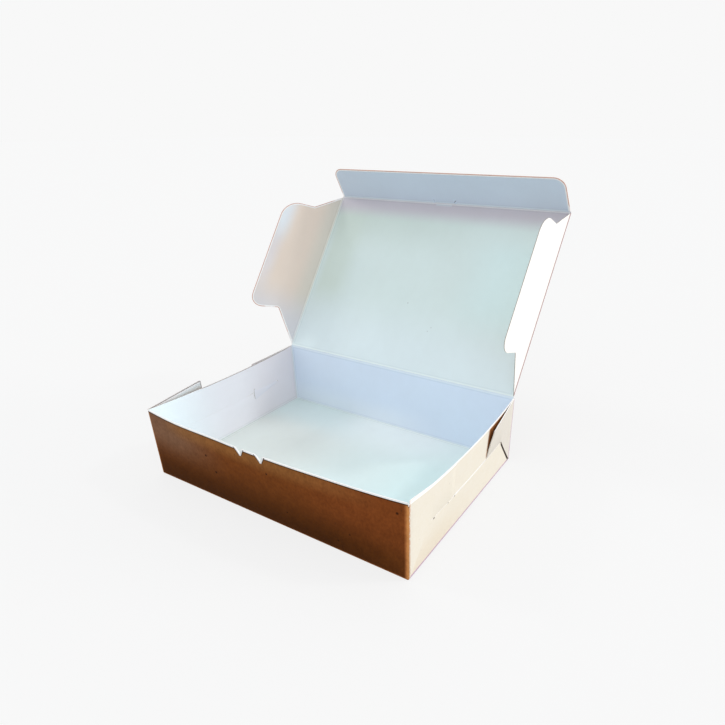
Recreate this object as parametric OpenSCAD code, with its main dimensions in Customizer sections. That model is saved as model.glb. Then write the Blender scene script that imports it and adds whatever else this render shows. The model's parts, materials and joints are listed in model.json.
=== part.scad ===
// Folded takeaway box made from one sheet of kraft board, shown with its lid open.
// The origin is the middle of the tray's underside. X runs to the right,
// Y to the rear and Z up. Every size is in millimetres.

/* [Tray] */
// Outside width of the tray, across its side walls
tray_width = 200; // [140:1:320]
// Outside depth of the tray, from its front wall to its rear wall
tray_depth = 140; // [120:1:240]
// Height of the tray walls along the board
wall_height = 49.6; // [46:0.1:80]
// Thickness of the board
board = 0.45; // [0.3:0.05:0.6]
// Outside radius of the folds along the bottom
fold_radius = 0.9; // [0.7:0.1:2]

/* [Set of the walls] */
// How far the top edge of the front wall bows outwards
front_bow = 6.4; // [0:0.1:9]
// How far the top edge of the right wall bows outwards
right_bow = 3.2; // [0:0.1:5]
// How far the top edge of the left wall bows inwards
left_bow = 1.2; // [0:0.1:1.3]
// How far the top edge of the left wall sags
left_sag = 1.7; // [1.6:0.1:3]

/* [Front lock] */
// Width of each notch beside the tongue in the front wall
notch_width = 6; // [3:0.1:8]
// Depth of each notch beside the tongue in the front wall
notch_depth = 4.2; // [2:0.1:8]
// Distance between the middles of the two notches
notch_spacing = 16.8; // [12:0.1:30]
// Width of the slot in the lid's front fold
slot_width = 18.2; // [12:0.1:30]
// Depth of the slot in the lid's front fold
slot_depth = 1.3; // [0.8:0.1:2]
// Length of the nick at each end of the slot
nick_length = 4; // [2:0.1:6]

/* [Corner lock tabs] */
// Length of each tab above its slit
tab_length = 46; // [38:0.5:50]
// How far the tongue of a tab reaches past the tab
tongue_overhang = 3; // [1:0.5:5]
// Height of the slits in the side walls
slit_level = 26; // [22:0.5:28]
// How far a tongue hangs below its slit
tongue_drop = 7; // [4:0.5:10]
// Distance from a corner to the near end of the slit
slit_inset = 22; // [16:0.5:26]
// How far the rear right tab stands off at its end
rear_right_flare = 5.2; // [0:0.1:8]
// How far the rear left tab stands off at its end
rear_left_flare = 1.5; // [0:0.1:6]
// How far the front right tab stands off at its end
front_right_flare = 0.3; // [0:0.1:6]
// Angle at which the loose front left tab stands out
loose_tab_angle = 9; // [2:0.5:20]

/* [Lid] */
// Angle of the lid, where 0 is closed
lid_angle = 127.1; // [95:0.1:180]
// Fold of the left wing, where 0 is flat with the lid
left_wing_angle = 55.7; // [10:0.1:110]
// Fold of the right wing, where 0 is flat with the lid
right_wing_angle = 92.7; // [10:0.1:115]
// Depth of the two side wings
wing_depth = 44.5; // [38:0.1:50]
// Fold of the front flap, where 0 is flat with the lid
flap_angle = 72; // [10:0.1:100]
// Depth of the front flap
flap_depth = 28; // [15:0.1:40]
// Radius of the front flap's outer corners
flap_corner = 6; // [2:0.1:10]

/* [Hidden] */

kraft = [0.60, 0.41, 0.26];
white_board = [0.84, 0.90, 0.88];
shaded_board = [0.74, 0.78, 0.82];
warm_board = [0.86, 0.82, 0.80];

// Steps in which curved edges and bowed walls are drawn
arc_steps = 8;
fold_steps = 4;
bow_steps = 20;
tab_steps = 6;

// Cutters pass this far beyond what they cut
cut_over = 1;

// A tab lies this far off the wall that it covers
layer_gap = 0.15;
tab_offset = board + layer_gap;

// The rounded folds start this little above the underside, and the bottom runs this far into them
fold_lift = 0.02;
fold_overlap = 0.1;

// The front and rear walls reach round the side walls, to carry the tabs
end_wall_width = tray_width + 2 * layer_gap + board;
side_wall_width = tray_depth - board;

// The tongues slant through their slits over this height
slit_slope = 1.3;
slit_opening = 0.6;
slit_window = 2 * slit_slope + 0.2;
slit_entry = 1.5;
tab_rim = 0.2;
tab_top_fall = 1.4;
tab_corner = 1.5;
tab_reach = tab_length + tongue_overhang;

// The lid's crease lies just above the rear wall
crease_rise = 0.5;
crease_z = wall_height + crease_rise;
crease_y = tray_depth / 2 - board / 2;

// Each panel ends this far short of the crease that it meets
crease_gap = 0.7;
lid_length = tray_depth - 2.3;
wing_crease_x = tray_width / 2 - 0.6;
lid_half_width = wing_crease_x - crease_gap;

// Outline of a wing, measured along its crease from the rear
wing_end_gap = 1;
wing_notch = [25.2, 21.2];
wing_rear_shoulder = 16.5;
wing_front_shoulder = lid_length - 27.2;
wing_kink = [lid_length - 20.7, 20.5];
wing_notch_radius = 1.5;
wing_rear_radius = 8;
wing_front_radius = 17;

// The front flap narrows from its fold to its outer edge
flap_root = lid_half_width + 0.3;
flap_taper = 2.2;
nick_width = 0.6;

// Unit vector from one point to another
function towards(from, to) = (to - from) / norm(to - from);

// Arc that rounds the corner at p between its neighbours a and b
function corner_arc(a, p, b, radius) =
    let (
        u = towards(p, a),
        v = towards(p, b),
        half_angle = acos(u * v) / 2,
        middle = p + (u + v) / norm(u + v) * radius / sin(half_angle),
        start = p + u * radius / tan(half_angle) - middle,
        finish = p + v * radius / tan(half_angle) - middle,
        first = atan2(start.y, start.x),
        turn = atan2(finish.y, finish.x) - first,
        sweep = turn > 180 ? turn - 360 : (turn < -180 ? turn + 360 : turn)
    )
    [for (i = [0:arc_steps])
        let (angle = first + sweep * i / arc_steps)
        middle + radius * [cos(angle), sin(angle)]];

// Outline whose corners are given as [x, y, radius]
function rounded(corners) =
    let (count = len(corners))
    [for (i = [0:count - 1])
        let (
            before = corners[(i + count - 1) % count],
            here = corners[i],
            after = corners[(i + 1) % count],
            p = [here.x, here.y]
        )
        each here.z > 0
            ? corner_arc([before.x, before.y], p, [after.x, after.y], here.z)
            : [p]];

// Sheet that runs through a row of sections, each one face's points and then the other's, reversed
module skin(rings) {
    count = len(rings[0]);
    last = len(rings) - 1;
    points = [for (ring = rings) each ring];
    sides = [for (i = [0:last - 1]) for (j = [0:count - 1])
        let (
            k = (j + 1) % count,
            a = i * count + j,
            b = i * count + k,
            c = a + count,
            d = b + count
        )
        each [[a, b, d], [a, d, c]]];
    cap = [for (j = [0:count / 2 - 2])
        let (across = count - 1 - j)
        each [[j, j + 1, across - 1], [j, across - 1, across]]];
    first_cap = [for (face = cap) [face[2], face[1], face[0]]];
    last_cap = [for (face = cap) [for (j = face) last * count + j]];
    polyhedron(points, concat(sides, first_cap, last_cap));
}

// Share of the full bow at a place along a wall, none at its ends
function bow_share(x, length) = max(0, 1 - pow(2 * x / length, 2));

// Height of the top edge of a wall that leans out by a distance and sags
function top_level(lean, sag) = sqrt(pow(wall_height, 2) - pow(lean, 2)) - sag;

// Outward reach of a wall's outer face at a height
function wall_reach(reach, lean, z) = reach + lean * z / wall_height;

// Section of a wall with its rounded bottom fold, in the plane across the wall
function wall_section(x, reach, lean, top) =
    let (
        middle = reach - fold_radius,
        inner_radius = fold_radius - board,
        outer = [for (i = [0:fold_steps])
            let (angle = 90 * i / fold_steps, z = fold_lift + fold_radius * (1 - cos(angle)))
            [x, -wall_reach(middle + fold_radius * sin(angle), lean, z), z]],
        inner = [for (i = [fold_steps:-1:0])
            let (angle = 90 * i / fold_steps, z = fold_lift + fold_radius - inner_radius * cos(angle))
            [x, -wall_reach(middle + inner_radius * sin(angle), lean, z), z]]
    )
    concat(
        outer,
        [[x, -wall_reach(reach, lean, top), top]],
        [[x, -wall_reach(reach - board, lean, top), top]],
        inner
    );

// Wall along X that faces -Y, straight at its fold and bowed at its top edge
module wall(width, span, reach, bow, sag, steps = bow_steps) {
    skin([for (i = [0:steps])
        let (
            x = width * (i / steps - 0.5),
            share = bow_share(x, span)
        )
        wall_section(x, reach, bow * share, top_level(bow * share, sag * share))]);
}

// Upright outline, extruded across the wall that faces -Y
module wall_prism(points, near, far) {
    translate([0, -near, 0])
        rotate([90, 0, 0])
            linear_extrude(height = far - near)
                polygon(points);
}

// Places along a tab at which its sections stand: up to the slit, along the slit and on the hook
function tab_places() = concat(
    [for (i = [0:tab_steps]) board / 2 + (slit_inset - board / 2) * i / tab_steps],
    [for (i = [0:tab_steps])
        slit_inset + slit_entry + (tab_length - slit_inset - slit_entry) * i / tab_steps],
    [tab_length + tab_rim / 2, tab_length + slit_entry / 2, tab_reach]
);

// Heights of the four points across a tab: lower edge, both sides of the slit and upper edge
function tab_levels(along) =
    let (
        rise = along / slit_inset,
        near_low = fold_radius + (slit_level + slit_slope - fold_radius) * rise,
        hang = (along - slit_inset) / (tab_reach - slit_inset),
        low = slit_level - slit_slope - tab_rim - (tongue_drop - slit_slope - tab_rim) * hang,
        chamfer = max(0, along - tab_length + tab_corner),
        top = wall_height - tab_top_fall * along / tab_length - chamfer,
        hook_top = slit_level + (along - tab_length)
    )
    along <= slit_inset
        ? [near_low, near_low + tab_rim, near_low + 2 * tab_rim, top]
        : along <= tab_length
            ? [low, slit_level - slit_slope, slit_level + slit_slope, top]
            : along < tab_length + tab_rim
                ? [low, slit_level - slit_slope, slit_level + slit_slope, slit_level + slit_slope + tab_rim]
                : [low, slit_level - slit_slope, hook_top - tab_rim, hook_top];

// Whether a point across a tab lies inside the wall that it hooks into
function tab_tucks(along, k) =
    (k < 2 && along > slit_inset) || along > tab_length + tab_rim;

// How far a tab's middle surface lies outside the middle of its wall
function tab_stand(along, z, flare) =
    tab_offset + flare * pow(along / tab_length, 1.5)
        * max(0, z - slit_level) / (wall_height - slit_level);

// Section of a tab at a distance from its corner fold, as [reach, height] of its middle surface
function tab_line(along, reach, lean, flare, tucked) =
    let (levels = tab_levels(along))
    [for (k = [0:3])
        let (
            z = levels[k],
            stand = tucked && tab_tucks(along, k) ? -tab_offset : tab_stand(along, z, flare)
        )
        [wall_reach(reach - board / 2, lean, z) + stand, z]];

// Corner tab of the wall that faces -Y, folded round from that wall's right end
module corner_tab(span, reach, bow, flare, tucked = true) {
    skin([for (along = tab_places())
        let (
            x = span / 2 - along,
            line = tab_line(along, reach, bow * bow_share(x, span), flare, tucked)
        )
        concat(
            [for (k = [3:-1:0]) [x, -line[k].x - board / 2, line[k].y]],
            [for (k = [0:3]) [x, -line[k].x + board / 2, line[k].y]]
        )]);
}

// Tab that has come out of its slit and swings out from the corner fold
module loose_tab(span, reach) {
    pivot = [span / 2, -reach - layer_gap, 0];
    translate(pivot)
        rotate([0, 0, loose_tab_angle])
            translate(-pivot)
                corner_tab(span, reach, 0, 0, false);
}

// Opening through the wall that faces -Y, between two places along it
module slit(from, to, height) {
    translate([from, -tray_width, slit_level - height / 2])
        cube([to - from, tray_width, height]);
}

// Side wall with the long slit, spread where the tongue of a tab passes at either end
module side_wall(bow, sag, tongue_ends) {
    end = tray_depth / 2;
    difference() {
        wall(side_wall_width, tray_depth, tray_width / 2, bow, sag);
        slit(slit_inset - end, end - slit_inset, slit_opening);
        for (side = tongue_ends)
            mirror([side < 0 ? 1 : 0, 0, 0])
                slit(end - tab_reach - tab_rim, end - slit_inset + tab_rim, slit_window);
    }
}

// Front wall with the tongue between its two notches
module front_wall() {
    lowest = top_level(front_bow, 0) - notch_depth;
    difference() {
        wall(end_wall_width, tray_width, tray_depth / 2, front_bow, 0);
        for (side = [-1, 1]) {
            middle = side * notch_spacing / 2;
            spread = notch_width / 2 * (1 + cut_over / notch_depth);
            wall_prism(
                [
                    [middle, lowest],
                    [middle + spread, lowest + notch_depth + cut_over],
                    [middle - spread, lowest + notch_depth + cut_over]
                ],
                tray_depth / 4,
                tray_depth
            );
        }
    }
}

// Bottom panel, which runs just into the rounded folds of the walls
module bottom_panel() {
    inset = fold_radius - fold_overlap;
    translate([inset - tray_width / 2, inset - tray_depth / 2, 0])
        cube([tray_width - 2 * inset, tray_depth - 2 * inset, board]);
}

module tray() {
    color(kraft) {
        bottom_panel();
        front_wall();
        rotate([0, 0, 180])
            wall(end_wall_width, tray_width, tray_depth / 2, 0, 0, 1);
        rotate([0, 0, 90]) {
            side_wall(right_bow, 0, [-1, 1]);
            corner_tab(tray_depth, tray_width / 2, right_bow, rear_right_flare);
            mirror([1, 0, 0])
                corner_tab(tray_depth, tray_width / 2, right_bow, front_right_flare);
        }
        rotate([0, 0, -90]) {
            side_wall(-left_bow, left_sag, [-1]);
            mirror([1, 0, 0])
                corner_tab(tray_depth, tray_width / 2, -left_bow, rear_left_flare);
            loose_tab(tray_depth, tray_width / 2);
        }
    }
}

// Places a panel in the plane of the lid, with -Y from the crease to the front edge
module on_lid() {
    translate([0, crease_y, crease_z])
        rotate([-lid_angle, 0, 0])
            children();
}

// Rounded edge of a panel along X
module edge_along_x(length) {
    rotate([0, 90, 0])
        cylinder(d = board, h = length, center = true, $fn = 24);
}

module lid_panel() {
    depth = lid_length - crease_gap;
    color(white_board)
        on_lid() {
            translate([-lid_half_width, -depth, -board / 2])
                cube([2 * lid_half_width, depth, board]);
            edge_along_x(2 * lid_half_width);
            translate([0, -depth, 0])
                edge_along_x(2 * lid_half_width);
            for (side = [-1, 1])
                translate([side * lid_half_width, -depth / 2, 0])
                    rotate([0, 0, 90])
                        edge_along_x(depth);
        }
}

// Flat side flap of the lid, to the right of its crease
module wing(angle) {
    outline = rounded([
        [wing_end_gap, 0, 0],
        [wing_notch.x, wing_notch.y, wing_notch_radius],
        [wing_rear_shoulder, wing_depth, wing_rear_radius],
        [wing_front_shoulder, wing_depth, wing_front_radius],
        [wing_kink.x, wing_kink.y, wing_notch_radius],
        [lid_length - wing_end_gap, 0, 0]
    ]);
    root = lid_length - 2 * wing_end_gap;
    translate([wing_crease_x, 0, 0])
        rotate([0, angle, 0]) {
            translate([0, 0, -board / 2])
                linear_extrude(height = board)
                    polygon([for (p = outline) [p.y, -p.x]]);
            translate([0, -lid_length / 2, 0])
                rotate([0, 0, 90])
                    edge_along_x(root);
        }
}

module left_wing() {
    color(warm_board)
        on_lid()
            mirror([1, 0, 0])
                wing(left_wing_angle);
}

module right_wing() {
    color(warm_board)
        on_lid()
            wing(right_wing_angle);
}

// Tuck flap with a slot in its fold and a nick at each end of the slot
module front_flap() {
    outline = rounded([
        [-flap_root, 0, 0],
        [-flap_root + flap_taper, -flap_depth, flap_corner],
        [flap_root - flap_taper, -flap_depth, flap_corner],
        [flap_root, 0, 0]
    ]);
    color(shaded_board)
        on_lid()
            translate([0, -lid_length, 0])
                rotate([flap_angle, 0, 0])
                    difference() {
                        union() {
                            translate([0, 0, -board / 2])
                                linear_extrude(height = board)
                                    polygon(outline);
                            edge_along_x(2 * flap_root);
                        }
                        translate([-slot_width / 2, -slot_depth, -board])
                            cube([slot_width, slot_depth + board, 2 * board]);
                        for (side = [-1, 1])
                            translate([side * slot_width / 2 - nick_width / 2, -nick_length, -board])
                                cube([nick_width, nick_length + board, 2 * board]);
                    }
}

tray();
lid_panel();
left_wing();
right_wing();
front_flap();
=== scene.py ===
"""Takeaway box folded from one sheet of kraft board, standing open on a pale floor.

Every sheet is cut, scored and folded in millimetres, and scaled to metres when its object is made.
The row frame is kept: X to the right, Y to the rear, Z up, with the origin under the tray's middle.
"""

import json
import logging
import math
from collections.abc import Callable, Sequence
from dataclasses import dataclass, field, replace
from enum import Enum

import bmesh
import bpy
from mathutils import Matrix, Vector


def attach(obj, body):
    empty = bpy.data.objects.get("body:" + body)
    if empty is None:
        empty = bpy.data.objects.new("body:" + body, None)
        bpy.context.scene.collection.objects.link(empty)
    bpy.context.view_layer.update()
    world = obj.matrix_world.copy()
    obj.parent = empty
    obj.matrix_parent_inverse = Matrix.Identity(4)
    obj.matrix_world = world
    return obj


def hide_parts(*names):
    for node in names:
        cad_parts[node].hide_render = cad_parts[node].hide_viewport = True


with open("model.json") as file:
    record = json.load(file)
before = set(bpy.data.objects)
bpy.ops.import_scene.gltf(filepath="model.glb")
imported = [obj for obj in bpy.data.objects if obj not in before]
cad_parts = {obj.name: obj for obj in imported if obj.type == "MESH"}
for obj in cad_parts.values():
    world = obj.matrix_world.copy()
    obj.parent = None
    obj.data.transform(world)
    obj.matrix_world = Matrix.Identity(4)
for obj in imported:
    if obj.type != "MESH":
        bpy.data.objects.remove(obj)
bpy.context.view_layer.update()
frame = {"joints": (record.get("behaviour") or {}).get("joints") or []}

log = logging.getLogger("takeaway_box")

MM = 0.001
PAST_SHEET = 400.0
BLANK_MAP = "blank"
OUTSIDE_TINT = "outside_tint"
INSIDE_TINT = "inside_tint"
PLY = "ply"

Colour = tuple[float, float, float]
Inputs = dict[str, object]


def paint(red: int, green: int, blue: int) -> Colour:
    """Turns a colour as a screen shows it into the linear one that shaders take.

    Args:
        red: Red, from 0 to 255.
        green: Green, from 0 to 255.
        blue: Blue, from 0 to 255.

    Returns:
        The linear colour.
    """

    def linear(level: int) -> float:
        """Straightens one channel."""
        share = level / 255
        return share / 12.92 if share <= 0.04045 else ((share + 0.055) / 1.055) ** 2.4

    return linear(red), linear(green), linear(blue)


def ease(share: float) -> float:
    """Smooth step from 0 to 1, held outside that range."""
    held = min(1.0, max(0.0, share))
    return held * held * (3 - 2 * held)


class Tint(Enum):
    """Colours of the board's two faces, named after where they show; besides the plain kraft they are painted
    light and shade: lit and shaded copies of the kraft, and whites that differ from panel to panel by how
    each is lit.
    """

    KRAFT = paint(148, 98, 58)
    # Painted shade: the front wall's kraft, darker because the front stands in shade.
    KRAFT_DEEP = paint(122, 69, 29)
    # Painted light: the kraft of the right wall and its tabs, washed pale by strong light from the right.
    KRAFT_BLEACHED = paint(236, 230, 218)
    # Painted light: the right wing's outside, washed almost white by the same light.
    KRAFT_PALE = paint(252, 251, 249)
    # Painted light and shade: the whites differ from panel to panel only by how each panel is lit.
    WHITE_FLOOR = paint(231, 246, 244)
    WHITE_REAR = paint(226, 239, 255)
    WHITE_SIDE = paint(254, 251, 255)
    WHITE_TAB = paint(244, 253, 255)
    WHITE_LID = paint(218, 235, 234)
    WHITE_FLAP = paint(212, 225, 240)
    WHITE_WING = paint(241, 225, 211)


class Side(Enum):
    """The two sides of the box, as the sign of X."""

    LEFT = -1
    RIGHT = 1


class Layer(Enum):
    """Where each finish stands in a sheet's list of materials."""

    COATED = 0
    KRAFT = 1
    CUT_EDGE = 2


def operation(kind: str, reflected: bool = False) -> Callable[..., "Value"]:
    """Makes a method of a shader value that adds one Math node.

    Args:
        kind: The Math node's operation.
        reflected: Whether the value comes after the other operand.

    Returns:
        The method.
    """

    def method(value: "Value", *others: object) -> "Value":
        """Result of the operation on a value and the others."""
        operands = (*others, value) if reflected else (value, *others)
        inputs = {str(place): operand for place, operand in enumerate(operands)}
        return value.graph.value("ShaderNodeMath", {"operation": kind}, inputs)

    return method


class Value:
    """A number in a shader, which takes part in Python arithmetic."""

    __add__ = __radd__ = operation("ADD")
    __sub__ = operation("SUBTRACT")
    __rsub__ = operation("SUBTRACT", reflected=True)
    __mul__ = __rmul__ = operation("MULTIPLY")
    __truediv__ = operation("DIVIDE")
    __rtruediv__ = operation("DIVIDE", reflected=True)
    __abs__ = operation("ABSOLUTE")
    larger = operation("MAXIMUM")
    smaller = operation("MINIMUM")

    def __init__(self, graph: "Graph", socket: bpy.types.NodeSocket) -> None:
        """Wraps an output socket of a graph."""
        self.graph = graph
        self.socket = socket

    def held(self) -> "Value":
        """This value, kept between 0 and 1."""
        return self.larger(0.0).smaller(1.0)

    def eased(self, low: float, high: float) -> "Value":
        """Smooth step of this value.

        Args:
            low: Where the result is 0.
            high: Where the result is 1.

        Returns:
            The smooth step.
        """
        settings = {"interpolation_type": "SMOOTHSTEP"}
        inputs = {"Value": self, "From Min": low, "From Max": high}
        return self.graph.value("ShaderNodeMapRange", settings, inputs, "Result")


class Graph:
    """The nodes of a material or of the world."""

    def __init__(self, owner: bpy.types.ID) -> None:
        """Starts with no nodes.

        Args:
            owner: The material or the world.
        """
        owner.use_nodes = True
        self.owner = owner
        self.tree = owner.node_tree
        self.tree.nodes.clear()

    def node(self, kind: str, settings: Inputs, inputs: Inputs) -> bpy.types.Node:
        """Adds a node.

        Args:
            kind: The node's type.
            settings: Its own settings, which are set first.
            inputs: What its sockets take, by name or by number: values, links or constants.

        Returns:
            The node.
        """
        made = self.tree.nodes.new(kind)
        for key, setting in settings.items():
            setattr(made, key, setting)
        for key, source in inputs.items():
            socket = made.inputs[int(key)] if key.isdigit() else made.inputs[key]
            self.join(source, socket)
        return made

    def join(self, source: object, socket: bpy.types.NodeSocket) -> None:
        """Links a value or an output to a socket, or sets the socket's own constant."""
        if isinstance(source, Value):
            self.tree.links.new(source.socket, socket)
        elif isinstance(source, bpy.types.NodeSocket):
            self.tree.links.new(source, socket)
        else:
            socket.default_value = source

    def value(self, kind: str, settings: Inputs, inputs: Inputs, output: str = "") -> Value:
        """Adds a node and wraps one of its outputs, the first one if none is named."""
        made = self.node(kind, settings, inputs)
        return Value(self, made.outputs[output] if output else made.outputs[0])

    def mix(self, share: object, first: object, second: object, blend: str = "MIX") -> bpy.types.NodeSocket:
        """Mixes two colours.

        Args:
            share: How much of the second shows, from 0 to 1.
            first: The colour at 0.
            second: The colour at 1.
            blend: How the two are combined.

        Returns:
            The mixed colour.
        """
        settings = {"data_type": "RGBA", "blend_type": blend}
        colours = [(*c, 1.0) if isinstance(c, tuple) else c for c in (first, second)]
        inputs = {"0": share, "6": colours[0], "7": colours[1]}
        return self.node("ShaderNodeMix", settings, inputs).outputs[2]

    def blank(self) -> tuple[Value, Value, bpy.types.NodeSocket]:
        """Place on the flat sheet in millimetres: across, along, and both as a vector."""
        place = self.node("ShaderNodeUVMap", {"uv_map": BLANK_MAP}, {}).outputs["UV"]
        parts = self.node("ShaderNodeSeparateXYZ", {}, {"Vector": place})
        return Value(self, parts.outputs["X"]), Value(self, parts.outputs["Y"]), place

    def tint(self, attribute: str) -> bpy.types.NodeSocket:
        """Colour that a face of the sheet carries."""
        return self.node("ShaderNodeAttribute", {"attribute_name": attribute}, {}).outputs["Color"]

    def red(self, colour: bpy.types.NodeSocket) -> Value:
        """Red channel of a colour."""
        return self.value("ShaderNodeSeparateColor", {}, {"Color": colour}, "Red")

    def noise(
        self, place: bpy.types.NodeSocket, size: float, stretch: float = 1.0, detail: float = 2.0
    ) -> Value:
        """Cloudy pattern on the flat sheet.

        Args:
            place: The place on the sheet.
            size: Size of its clouds in millimetres.
            stretch: How much longer they are along the sheet than across it.
            detail: How many finer layers it has.

        Returns:
            The pattern, mostly between 0.3 and 0.7.
        """
        scale = (1 / size, 1 / (size * stretch), 1 / size)
        mapped = self.node("ShaderNodeMapping", {}, {"Vector": place, "Scale": scale}).outputs[0]
        return self.value("ShaderNodeTexNoise", {}, {"Vector": mapped, "Scale": 1.0, "Detail": detail})

    def seen(self) -> Value:
        """One for rays that show what is behind the object, and zero for rays that only light it."""
        rays = self.node("ShaderNodeLightPath", {}, {})
        kinds = [Value(self, rays.outputs[f"Is {kind} Ray"]) for kind in ("Camera", "Glossy", "Transmission")]
        return kinds[0].larger(kinds[1]).larger(kinds[2])

    def shared(self, share: Value, first: bpy.types.Node, second: bpy.types.Node) -> bpy.types.Node:
        """Mixes two shaders, by how much of the second shows."""
        inputs = {"0": share, "1": first.outputs[0], "2": second.outputs[0]}
        return self.node("ShaderNodeMixShader", {}, inputs)

    def bump(self, height: Value, depth: float) -> bpy.types.NodeSocket:
        """Surface direction raised by a height pattern, up to a depth in millimetres."""
        inputs = {"Height": height, "Strength": 1.0, "Distance": depth * MM}
        return self.node("ShaderNodeBump", {}, inputs).outputs[0]

    def surface(self, inputs: Inputs) -> bpy.types.Node:
        """Adds the surface shader that every finish here uses."""
        return self.node("ShaderNodeBsdfPrincipled", {}, inputs)

    def shown(self, shader: bpy.types.Node) -> bpy.types.ID:
        """Gives a shader to the owner's output and hands the owner over."""
        world = isinstance(self.owner, bpy.types.World)
        output = "ShaderNodeOutputWorld" if world else "ShaderNodeOutputMaterial"
        self.node(output, {}, {"Surface": shader.outputs[0]})
        return self.owner


def placed(name: str, data: bpy.types.ID) -> bpy.types.Object:
    """Makes an object and adds it to the scene."""
    made = bpy.data.objects.new(name, data)
    bpy.context.scene.collection.objects.link(made)
    return made


def finish_graph(name: str) -> Graph:
    """Starts the nodes of a new material."""
    return Graph(bpy.data.materials.new(name))


@dataclass(frozen=True)
class Band:
    """A stretch of the flat sheet with soft ends, in millimetres.

    Attributes:
        start: Where it starts to show.
        full: From where it shows fully.
        fade: From where it fades.
        end: Where it has gone.
    """

    start: float
    full: float
    fade: float
    end: float

    @classmethod
    def after(cls, start: float, full: float) -> "Band":
        """A band that runs on past the sheet's far end."""
        return cls(start, full, PAST_SHEET, PAST_SHEET + 1)

    @classmethod
    def until(cls, fade: float, end: float) -> "Band":
        """A band that comes from past the sheet's near end."""
        return cls(-PAST_SHEET - 1, -PAST_SHEET, fade, end)

    @classmethod
    def beside(cls, place: float, *distances: float) -> "Band":
        """A band given by its four distances from a place."""
        return cls(*(place + distance for distance in distances))

    def mask(self, place: Value) -> Value:
        """How much of the band shows at a place."""
        return place.eased(self.start, self.full) * (1.0 - place.eased(self.fade, self.end))


@dataclass(frozen=True)
class Wash:
    """A soft change of colour over part of a sheet.

    Attributes:
        tint: The colour that it changes to.
        weight: How strongly, from 0 to 1.
        across: Its stretch in X, or none if it runs over the whole sheet.
        along: Its stretch in Y, or none if it runs over the whole sheet.
        lean: How far the stretch in X moves per millimetre of Y.
    """

    tint: Colour
    weight: float
    across: Band | None = None
    along: Band | None = None
    lean: float = 0.0

    def over(
        self, colour: bpy.types.NodeSocket, graph: Graph, across: Value, along: Value
    ) -> bpy.types.NodeSocket:
        """Lays the wash over a colour.

        Args:
            colour: The colour under it.
            graph: The material's nodes.
            across: Place in X on the flat sheet.
            along: Place in Y on the flat sheet.

        Returns:
            The changed colour.
        """
        share = self.weight
        if self.across:
            place = across - along * self.lean if self.lean else across
            share = self.across.mask(place) * share
        if self.along:
            share = self.along.mask(along) * share
        return graph.mix(share, colour, self.tint)


@dataclass(frozen=True)
class Fleck:
    """A small dark spot, by its place on the flat sheet and its radius in millimetres."""

    x: float
    y: float
    radius: float

    def mask(self, graph: Graph, place: bpy.types.NodeSocket) -> Value:
        """How much of the fleck shows at a place."""
        inputs = {"0": place, "1": (self.x, self.y, 0.0)}
        reach = graph.value("ShaderNodeVectorMath", {"operation": "DISTANCE"}, inputs, "Value")
        return 1.0 - reach.eased(self.radius * 0.4, self.radius * 1.3)


@dataclass(frozen=True)
class Crease:
    """A score line straight across a sheet.

    Attributes:
        place: Where it lies, in millimetres from the sheet's own zero line.
        across: Whether it is met by moving in X on the flat sheet, and not in Y.
        paired: Whether a second one lies on the other side of the zero line.
    """

    place: float
    across: bool = True
    paired: bool = False

    def distance(self, across: Value, along: Value) -> Value:
        """Distance from the crease, below zero on the near side."""
        reach = across if self.across else along
        return (abs(reach) if self.paired else reach) - self.place


def nearest(creases: Sequence[Crease], across: Value, along: Value) -> Value:
    """Distance to the nearest crease without its sign.

    Args:
        creases: The sheet's score lines.
        across: Place in X on the flat sheet.
        along: Place in Y on the flat sheet.

    Returns:
        The distance in millimetres.
    """
    distances = [abs(crease.distance(across, along)) for crease in creases]
    least = distances[0]
    for distance in distances[1:]:
        least = least.smaller(distance)
    return least


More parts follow.
